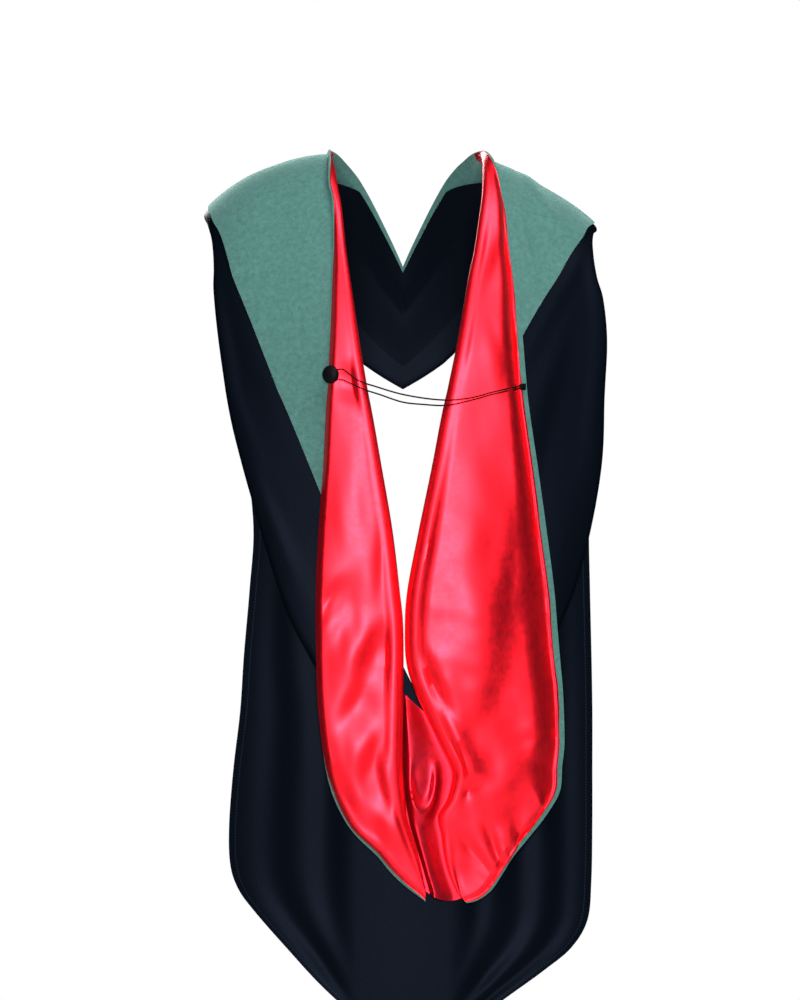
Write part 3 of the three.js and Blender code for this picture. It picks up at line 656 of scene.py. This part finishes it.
# the pocket where the cowl closes, the ridge where its two folds run into the middle, and the round
# lowest edge: places are shares of the cowl, lip, bowl and ridge are millimetres
pocket = {"across": 0.099, "down": 0.842, "halfWidth": 0.070, "halfLength": 0.046, "lip": 6.0, "bowl": 1.0}
strip = {"from": 0.73, "to": 0.78, "ridge": 9.0}
edgeSag = 0.0145


def foldAcross(table, side, down):
    # how far across the cowl's fold lies at this drop
    rows = np.array(table[5:], float)
    return side * hood["shoulderHalf"] * np.interp(down, rows[:, 1], rows[:, 0])


def makeThroat():
    front, back = [], []
    t = np.linspace(0, 1, fine["throatAcross"])
    for place in places(throatRows, 0, fine["throat"]):
        left, leftDown, right, rightDown = rowAt(throatRows, place)
        share = mix(left, right, t)
        down = mix(leftDown, rightDown, t) + edgeSag * 4 * t * (1 - t) * smooth(place, 7, 10)
        sideShare = (share - pocket["across"]) / pocket["halfWidth"]
        ring = np.hypot(sideShare, (down - pocket["down"]) / pocket["halfLength"])
        lower = smooth(down, pocket["down"] - 0.022, pocket["down"] + 0.018)
        lip = pocket["lip"] * lower * np.exp(-(((ring - 1) / 0.26) ** 2))
        bowl = pocket["bowl"] * np.exp(-((ring / 0.75) ** 4)) * (1 - 0.6 * lower)
        across = share * hood["shoulderHalf"]
        leftFold, rightFold = foldAcross(leftCowl, -1, down), foldAcross(rightCowl, 1, down)
        q = (across - leftFold) / np.maximum(rightFold - leftFold, 1)
        reach = smooth(down, strip["from"], strip["to"])
        ridge = strip["ridge"] * reach * smooth(q, -0.02, 0.18) * (1 - smooth(q, 0.12, 0.95))
        free = smooth(across - leftFold, -1, 5)  # nothing stands up beneath the left lobe
        height = throatLevel + (lip - bowl) * free + ridge
        front.append(above(across, down * hood["cowlDrop"], height + cloth["lining"] / 2))
        back.append(above(across, down * hood["cowlDrop"], height - cloth["lining"] / 2))
    return makeWall("liningThroat", front, back)


def hexColour(text):
    # sRGB hex to linear
    values = [int(text[i:i + 2], 16) / 255 for i in (1, 3, 5)]
    return tuple(v / 12.92 if v <= 0.04045 else ((v + 0.055) / 1.055) ** 2.4 for v in values) + (1.0,)


def addNode(tree, kind, settings=None, links=None):
    node = tree.nodes.new(kind)
    for key, value in (settings or {}).items():
        if isinstance(key, int) or (key in node.inputs and not hasattr(node, key)):
            node.inputs[key].default_value = value
        else:
            setattr(node, key, value)
    for key, source in (links or {}).items():
        tree.links.new(source, node.inputs[key])
    return node


def startMaterial(name, base):
    material = bpy.data.materials.new(name)
    material.use_nodes = True
    material.diffuse_color = hexColour(base)
    tree = material.node_tree
    tree.nodes.clear()
    shader = addNode(tree, "ShaderNodeBsdfPrincipled")
    addNode(tree, "ShaderNodeOutputMaterial", links={"Surface": shader.outputs[0]})
    return material, tree, shader


def grains(millimetres):
    # the scale of a noise whose grains are about this wide
    return 1 / (millimetres * mm)


def satinLining(name, look):
    # polyester satin, woven in long floats and calendered: a strong red with a broad silky glow where it
    # faces the light, which falls off to deep crimson as soon as the cloth turns away
    material, tree, shader = startMaterial(name, look["base"])
    shader.inputs["Base Color"].default_value = hexColour(look["base"])
    shader.inputs["Metallic"].default_value = look["metal"]
    shader.inputs["Specular IOR Level"].default_value = 0.3
    shader.inputs["Coat Weight"].default_value = look["glaze"]  # the glaze of the calendered floats
    shader.inputs["Coat Roughness"].default_value = 0.45
    # the floats are 0.15 mm apart, too fine to show, so the weave is drawn as a fine and a coarse slub
    place = addNode(tree, "ShaderNodeTexCoord").outputs["Object"]
    noise = {"Scale": grains(look["weave"]), "Detail": 2.0, "Roughness": 0.6}
    weave = addNode(tree, "ShaderNodeTexNoise", noise, {"Vector": place})
    noise = {"Scale": grains(look["slub"]), "Detail": 3.0, "Roughness": 0.6}
    slub = addNode(tree, "ShaderNodeTexNoise", noise, {"Vector": place})
    relief = {"Strength": 0.3, "Distance": 0.12 * mm}
    weaveBump = addNode(tree, "ShaderNodeBump", relief, {"Height": weave.outputs["Fac"]})
    relief = {"Strength": 0.3, "Distance": 0.3 * mm}
    heights = {"Height": slub.outputs["Fac"], "Normal": weaveBump.outputs["Normal"]}
    bump = addNode(tree, "ShaderNodeBump", relief, heights)
    tree.links.new(bump.outputs["Normal"], shader.inputs["Normal"])
    span = {
        "From Min": 0.3,
        "From Max": 0.7,
        "To Min": look["rough"] - 0.04,
        "To Max": look["rough"] + 0.05,
    }
    rough = addNode(tree, "ShaderNodeMapRange", span, {"Value": slub.outputs["Fac"]})
    tree.links.new(rough.outputs["Result"], shader.inputs["Roughness"])
    return material


def velvetTrim():
    # short-pile velvet, sheared close: matt grey-green, mottled where the pile leans another way, with a
    # pale bloom where it turns away
    look = {"base": "#223A36", "lean": "#38605A", "bloom": "#A6D0C8", "patch": 5.0, "pile": 1.6}  # in mm
    material, tree, shader = startMaterial("shearedVelvet", "#5B8882")
    place = addNode(tree, "ShaderNodeTexCoord").outputs["Object"]
    noise = {"Scale": grains(look["patch"]), "Detail": 4.0, "Roughness": 0.6}
    patch = addNode(tree, "ShaderNodeTexNoise", noise, {"Vector": place})
    colours = {"data_type": "RGBA", 6: hexColour(look["base"]), 7: hexColour(look["lean"])}
    lean = addNode(tree, "ShaderNodeMix", colours, {0: patch.outputs["Fac"]})
    tree.links.new(lean.outputs[2], shader.inputs["Base Color"])
    # the pile's hairs are 0.1 mm apart, too fine to show, so tufts of them are drawn
    noise = {"Scale": grains(look["pile"]), "Detail": 3.0, "Roughness": 0.6}
    pile = addNode(tree, "ShaderNodeTexNoise", noise, {"Vector": place})
    relief = {"Strength": 0.8, "Distance": 0.8 * mm}
    bump = addNode(tree, "ShaderNodeBump", relief, {"Height": pile.outputs["Fac"]})
    tree.links.new(bump.outputs["Normal"], shader.inputs["Normal"])
    shader.inputs["Roughness"].default_value = 0.9
    shader.inputs["Specular IOR Level"].default_value = 0.2
    shader.inputs["Sheen Weight"].default_value = 0.4
    shader.inputs["Sheen Roughness"].default_value = 0.4
    shader.inputs["Sheen Tint"].default_value = hexColour(look["bloom"])
    return material


def stitchRow(tree, look):
    # 1 on the stitches of one row along the outer edge, else 0, in the cloth's own flat coordinates
    flat = addNode(tree, "ShaderNodeUVMap", {"uv_map": "flat"})
    parts = addNode(tree, "ShaderNodeSeparateXYZ", links={0: flat.outputs[0]})
    inside = {"operation": "SUBTRACT", 1: look["hem"] * mm}
    offset = addNode(tree, "ShaderNodeMath", inside, {0: parts.outputs["X"]})
    away = addNode(tree, "ShaderNodeMath", {"operation": "ABSOLUTE"}, {0: offset.outputs[0]})
    near = {"operation": "LESS_THAN", 1: look["half"] * mm}
    row = addNode(tree, "ShaderNodeMath", near, {0: away.outputs[0]})
    steps = {"operation": "DIVIDE", 1: look["stitch"] * mm}
    count = addNode(tree, "ShaderNodeMath", steps, {0: parts.outputs["Y"]})
    part = addNode(tree, "ShaderNodeMath", {"operation": "FRACT"}, {0: count.outputs[0]})
    shown = {"operation": "LESS_THAN", 1: look["shown"]}
    thread = addNode(tree, "ShaderNodeMath", shown, {0: part.outputs[0]})
    both = {0: row.outputs[0], 1: thread.outputs[0]}
    return addNode(tree, "ShaderNodeMath", {"operation": "MULTIPLY"}, both).outputs[0]


def shellCloth(name, stitched):
    # polyester peachskin, brushed: near black with a faint blue cast and a soft sheen
    look = {"base": "#020408", "cast": "#BCD0FF", "thread": "#0E131C", "grain": 1.6}  # in mm
    seam = {"hem": 7.5, "half": 0.55, "stitch": 3.2, "shown": 0.65}  # in mm, and the share on top
    material, tree, shader = startMaterial(name, "#0C0F17")
    shader.inputs["Base Color"].default_value = hexColour(look["base"])
    shader.inputs["Roughness"].default_value = 0.5
    shader.inputs["Specular IOR Level"].default_value = 0.035
    shader.inputs["Specular Tint"].default_value = hexColour(look["cast"])
    # the brushed face has fibres far too fine to show, so clumps of them are drawn
    place = addNode(tree, "ShaderNodeTexCoord").outputs["Object"]
    noise = {"Scale": grains(look["grain"]), "Detail": 3.0, "Roughness": 0.6}
    grain = addNode(tree, "ShaderNodeTexNoise", noise, {"Vector": place})
    relief = {"Strength": 0.5, "Distance": 0.4 * mm}
    bump = addNode(tree, "ShaderNodeBump", relief, {"Height": grain.outputs["Fac"]})
    tree.links.new(bump.outputs["Normal"], shader.inputs["Normal"])
    if stitched:
        colours = {"data_type": "RGBA", 6: hexColour(look["base"]), 7: hexColour(look["thread"])}
        colour = addNode(tree, "ShaderNodeMix", colours, {0: stitchRow(tree, seam)})
        tree.links.new(colour.outputs[2], shader.inputs["Base Color"])
    return material


def cordThread():
    # rayon cord and a cloth-covered button: dull black, with hardly any shine on the wound threads
    look = {"base": "#040406", "grain": 1.2}  # in mm
    material, tree, shader = startMaterial("rayonCord", "#0C0C12")
    shader.inputs["Base Color"].default_value = hexColour(look["base"])
    shader.inputs["Roughness"].default_value = 0.6
    shader.inputs["Specular IOR Level"].default_value = 0.05
    # the button's plain weave, drawn as coarse as one can see
    place = addNode(tree, "ShaderNodeTexCoord").outputs["Object"]
    noise = {"Scale": grains(look["grain"]), "Detail": 2.0, "Roughness": 0.6}
    weave = addNode(tree, "ShaderNodeTexNoise", noise, {"Vector": place})
    relief = {"Strength": 0.6, "Distance": 0.4 * mm}
    bump = addNode(tree, "ShaderNodeBump", relief, {"Height": weave.outputs["Fac"]})
    tree.links.new(bump.outputs["Normal"], shader.inputs["Normal"])
    return material


# the satin glows along its floats; the throat's copy has a darker base colour and a weaker glaze, painted
# shade for the recess between the lobes; weave, slub in mm
alongFloats = {"base": "#EE0F24", "rough": 0.46, "metal": 0.97, "glaze": 0.23, "weave": 0.9, "slub": 6.6}
shadedThroatLook = {"base": "#B40C22", "rough": 0.40, "metal": 0.92, "glaze": 0.12, "weave": 0.9, "slub": 6.6}
satin = satinLining("polyesterSatin", alongFloats)
shadedThroatSatin = satinLining("polyesterSatinPaintedShade", shadedThroatLook)
velvet = velvetTrim()
shell = shellCloth("polyesterPeachskin", False)
panelCloth = shellCloth("stitchedPeachskin", True)
thread = cordThread()


def finishPiece(piece, material, node):
    piece.data.materials.append(material)
    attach(piece, "root")
    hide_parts(node)
    return piece


leftRelief = {
    "folds": leftLapelFolds,
    "leans": leftLapelLeans,
    "trim": leftTrimFolds,
    "cape": leftCapeLeans,
}
rightRelief = {
    "folds": rightLapelFolds,
    "leans": rightLapelLeans,
    "trim": rightTrimFolds,
    "cape": rightCapeLeans,
}
liningFrom = 3.5  # the row at which the satin begins, just before the top of the shoulder

for side, sideName, table, relief in (
    (-1, "left", leftCowl, leftRelief),
    (1, "right", rightCowl, rightRelief),
):
    label = sideName.capitalize()
    satinLine = lambda s: liningLine(s, relief)
    lining = loft("lining" + label, table, side, liningFrom, satinLine, cloth["lining"])
    finishPiece(lining, satin, "lining_" + sideName)
    trim = loft("trim" + label, table, side, 0, lambda s: trimLine(s, relief), cloth["trim"])
    finishPiece(trim, velvet, "trim_" + sideName)
    cape = loft("shell" + label, table, side, 0, lambda s: shellLine(s, relief), cloth["shell"])
    finishPiece(cape, shell, "shell_" + sideName)
    panel = makePanel("panel" + label, leftPanelRows if side < 0 else rightPanelRows, side)
    finishPiece(panel, panelCloth, "panel_" + sideName)

# the throat wears the darker copy of the satin, whose colour is painted shade of the recess
throat = finishPiece(makeThroat(), shadedThroatSatin, "lining_throat")


# Cord, button and tack
cordPiece = {"radius": 0.9, "sides": 10, "step": 0.8, "ply": 3, "twist": 5.0, "depth": 0.12}
buttonPiece = {
    "radius": 9.8,
    "height": 7.5,
    "shankRadius": 1.8,
    "shankHeight": 4.2,
    "turn": -30.0,
    "sides": 48,
}
buttonFoot = (-74.3, -149.0, -240.0)


def routeLine(route, step):
    # the same centripetal Catmull-Rom line as the part's, at even steps
    points = np.array(route, float)
    padded = np.vstack([2 * points[0] - points[1], points, 2 * points[-1] - points[-2]])
    line = []
    for i in range(len(points) - 1):
        p0, p1, p2, p3 = padded[i:i + 4]
        d0, d1, d2 = (max(np.linalg.norm(b - a) ** 0.5, 1e-4) for a, b in ((p0, p1), (p1, p2), (p2, p3)))
        m1 = ((p1 - p0) / d0 - (p2 - p0) / (d0 + d1) + (p2 - p1) / d1) * d1
        m2 = ((p2 - p1) / d1 - (p3 - p1) / (d1 + d2) + (p3 - p2) / d2) * d1
        for t in np.linspace(0, 1, 24, endpoint=False):
            square = 3 * (p2 - p1) - 2 * m1 - m2
            cube = m1 + m2 - 2 * (p2 - p1)
            line.append(p1 + m1 * t + square * t**2 + cube * t**3)
    line = np.array(line + [points[-1]])
    length = np.concatenate([[0], np.cumsum(np.linalg.norm(np.diff(line, axis=0), axis=1))])
    even = np.linspace(0, length[-1], max(int(length[-1] / step), 2))
    return np.stack([np.interp(even, length, line[:, k]) for k in range(3)], axis=1), length[-1]


def makeTube(name, line, radiusAt, sides):
    along = np.gradient(line, axis=0)
    along /= np.linalg.norm(along, axis=1, keepdims=True)
    normal = np.cross(along[0], [0, 0, 1.0])
    normal /= np.linalg.norm(normal)
    rings = []
    for i, (point, way) in enumerate(zip(line, along)):
        normal = normal - way * normal.dot(way)
        normal /= np.linalg.norm(normal)
        other = np.cross(way, normal)
        angle = 2 * math.pi * np.arange(sides) / sides
        radius = radiusAt(i, angle)
        outwards = normal * np.cos(angle)[:, None] + other * np.sin(angle)[:, None]
        rings.append(point + outwards * radius[:, None])
    points = np.concatenate(rings)
    count = len(rings)
    faces = []
    for i in range(count - 1):
        a, b = i * sides, (i + 1) * sides
        faces += [(a + j, a + (j + 1) % sides, b + (j + 1) % sides, b + j) for j in range(sides)]
    faces.append(tuple(range(sides))[::-1])
    faces.append(tuple((count - 1) * sides + j for j in range(sides)))
    mesh = bpy.data.meshes.new(name)
    mesh.from_pydata((points * mm).tolist(), [], faces)
    mesh.shade_smooth()
    mesh.set_sharp_from_angle(angle=sharpAngle)
    mesh.update()
    piece = bpy.data.objects.new(name, mesh)
    bpy.context.scene.collection.objects.link(piece)
    return piece


def makeLathe(name, profile, sides, place, turn):
    # a turned form whose axis points out towards -Y, then turned about Z
    profile = np.array(profile, float)
    angle = 2 * math.pi * np.arange(sides) / sides
    rings = []
    for r, h in profile[1:-1]:
        rings.append(np.stack([r * np.cos(angle), np.full(sides, -h), r * np.sin(angle)], axis=1))
    points = np.concatenate([[[0, -profile[0][1], 0]]] + rings + [[[0, -profile[-1][1], 0]]])
    c, s = math.cos(math.radians(turn)), math.sin(math.radians(turn))
    points = points @ np.array([[c, s, 0], [-s, c, 0], [0, 0, 1]]) + np.array(place)
    last = len(points) - 1
    faces = [(0, 1 + j, 1 + (j + 1) % sides) for j in range(sides)]
    for i in range(len(rings) - 1):
        a, b = 1 + i * sides, 1 + (i + 1) * sides
        faces += [(a + j, b + j, b + (j + 1) % sides, a + (j + 1) % sides) for j in range(sides)]
    top = 1 + (len(rings) - 1) * sides
    faces += [(top + j, last, top + (j + 1) % sides) for j in range(sides)]
    mesh = bpy.data.meshes.new(name)
    mesh.from_pydata((points * mm).tolist(), [], faces)
    mesh.shade_smooth()
    mesh.set_sharp_from_angle(angle=sharpAngle)
    mesh.update()
    piece = bpy.data.objects.new(name, mesh)
    bpy.context.scene.collection.objects.link(piece)
    return piece


cordLine, cordLength = routeLine(cordRoute, cordPiece["step"])


def cordRadius(i, angle):
    turn = cordPiece["ply"] * (angle - 2 * math.pi * i * cordPiece["step"] / cordPiece["twist"])
    return cordPiece["radius"] * (1 - cordPiece["depth"] * (0.5 - 0.5 * np.cos(turn)))


cord = makeTube("cordLoop", cordLine, cordRadius, cordPiece["sides"])
finishPiece(cord, thread, "cord_loop")
print("hood: cord length", round(cordLength, 1))


def buttonProfile():
    # the shank, then the padded dome as shares of its radius and its height
    dome = [
        (0.93, 0), (0.985, 0.08), (1, 0.2), (0.985, 0.36), (0.93, 0.55),
        (0.83, 0.72), (0.68, 0.85), (0.48, 0.94), (0.25, 0.985),
    ]
    shank, foot = buttonPiece["shankRadius"], buttonPiece["shankHeight"]
    profile = [(0, 0), (shank, 0), (shank, foot)]
    profile += [(buttonPiece["radius"] * r, foot + buttonPiece["height"] * h) for r, h in dome]
    return profile + [(0, foot + buttonPiece["height"])]


button = makeLathe("coveredButton", buttonProfile(), buttonPiece["sides"], buttonFoot, buttonPiece["turn"])
finishPiece(button, thread, "button")


def makeTack():
    # a bar of thread wound round the lapel's edge
    bar = {"length": 8.0, "depth": 3.2, "height": 7.5, "turn": 38.0, "wraps": 8}
    place = (128.3, -137.6, -253.6)
    thin = 0.5  # the thread's radius
    line = []
    steps = 24
    for i in range(bar["wraps"] * steps + 1):
        angle = 2 * math.pi * i / steps
        x = (bar["length"] / 2 - thin) * np.sign(math.cos(angle)) * abs(math.cos(angle)) ** 0.5
        y = (bar["depth"] / 2 - thin) * np.sign(math.sin(angle)) * abs(math.sin(angle)) ** 0.5
        z = (bar["height"] / 2 - thin) * (2 * i / (bar["wraps"] * steps) - 1)
        line.append((x, y, z))
    c, s = math.cos(math.radians(bar["turn"])), math.sin(math.radians(bar["turn"]))
    line = np.array(line) @ np.array([[c, s, 0], [-s, c, 0], [0, 0, 1]]) + np.array(place)
    return makeTube("cordTack", line, lambda i, angle: np.full(len(angle), thin), 6)


finishPiece(makeTack(), thread, "cord_tack")
print("hood: cord, button and tack made")


# Light: a broad key lamp behind the camera gives the satin its glow, a small lamp from the upper left
# shapes the folds, one from above lights the shoulders, and one in front the side that isn't seen
def addLight(name, place, target, size, power):
    lamp = bpy.data.lights.new(name, "AREA")
    lamp.shape = "RECTANGLE"
    lamp.size, lamp.size_y = size
    lamp.energy = power
    piece = bpy.data.objects.new(name, lamp)
    bpy.context.scene.collection.objects.link(piece)
    piece.location = place
    piece.visible_camera = False
    way = np.array(target, float) - np.array(place, float)
    piece.rotation_euler = (
        math.atan2(math.hypot(way[0], way[1]), -way[2]),
        0,
        math.atan2(way[1], way[0]) - math.pi / 2,
    )
    return piece


addLight("keyLight", (0.0, -4.6, 0.2), (0, 0, -0.42), (0.8, 1.1), 420)
addLight("fillLight", (-1.2, -2.6, 2.2), (0, 0, -0.2), (0.8, 0.8), 12)
addLight("frontLight", (-0.9, 3.4, 0.9), (0, 0, -0.3), (1.2, 1.2), 90)
addLight("topLight", (0.7, -1.1, 1.9), (0, 0, -0.1), (1.2, 1.0), 100)

world = bpy.data.worlds.new("studio")
bpy.context.scene.world = world
world.use_nodes = True
studio = world.node_tree
studio.nodes.clear()
# the eye sees a white room, the hood itself is lit by a dim one, or its black cloth would turn grey
roomLight = addNode(studio, "ShaderNodeBackground", {"Color": (0.86, 0.93, 1, 1), "Strength": 0.035})
whiteRoom = addNode(studio, "ShaderNodeBackground", {"Color": (1, 1, 1, 1), "Strength": 1.0})
seen = addNode(studio, "ShaderNodeLightPath")
rooms = {0: seen.outputs["Is Camera Ray"], 1: roomLight.outputs[0], 2: whiteRoom.outputs[0]}
room = addNode(studio, "ShaderNodeMixShader", links=rooms)
addNode(studio, "ShaderNodeOutputWorld", links={"Surface": room.outputs[0]})

# the floor lies where a wearer's would, about 1.45 m below the shoulders, out of the picture
floorSize = 3.0
floorDrop = 1.45
bpy.ops.mesh.primitive_plane_add(size=floorSize, location=(0, 0, -floorDrop))
floor = bpy.context.object
floor.name = "studioFloor"
paint = "#E8E8E6"  # matt emulsion, nearly white
floorPaint, floorTree, floorShader = startMaterial("palePaint", paint)
floorShader.inputs["Base Color"].default_value = hexColour(paint)
floorShader.inputs["Roughness"].default_value = 0.7
floor.data.materials.append(floorPaint)

bpy.context.scene.view_settings.view_transform = "Standard"
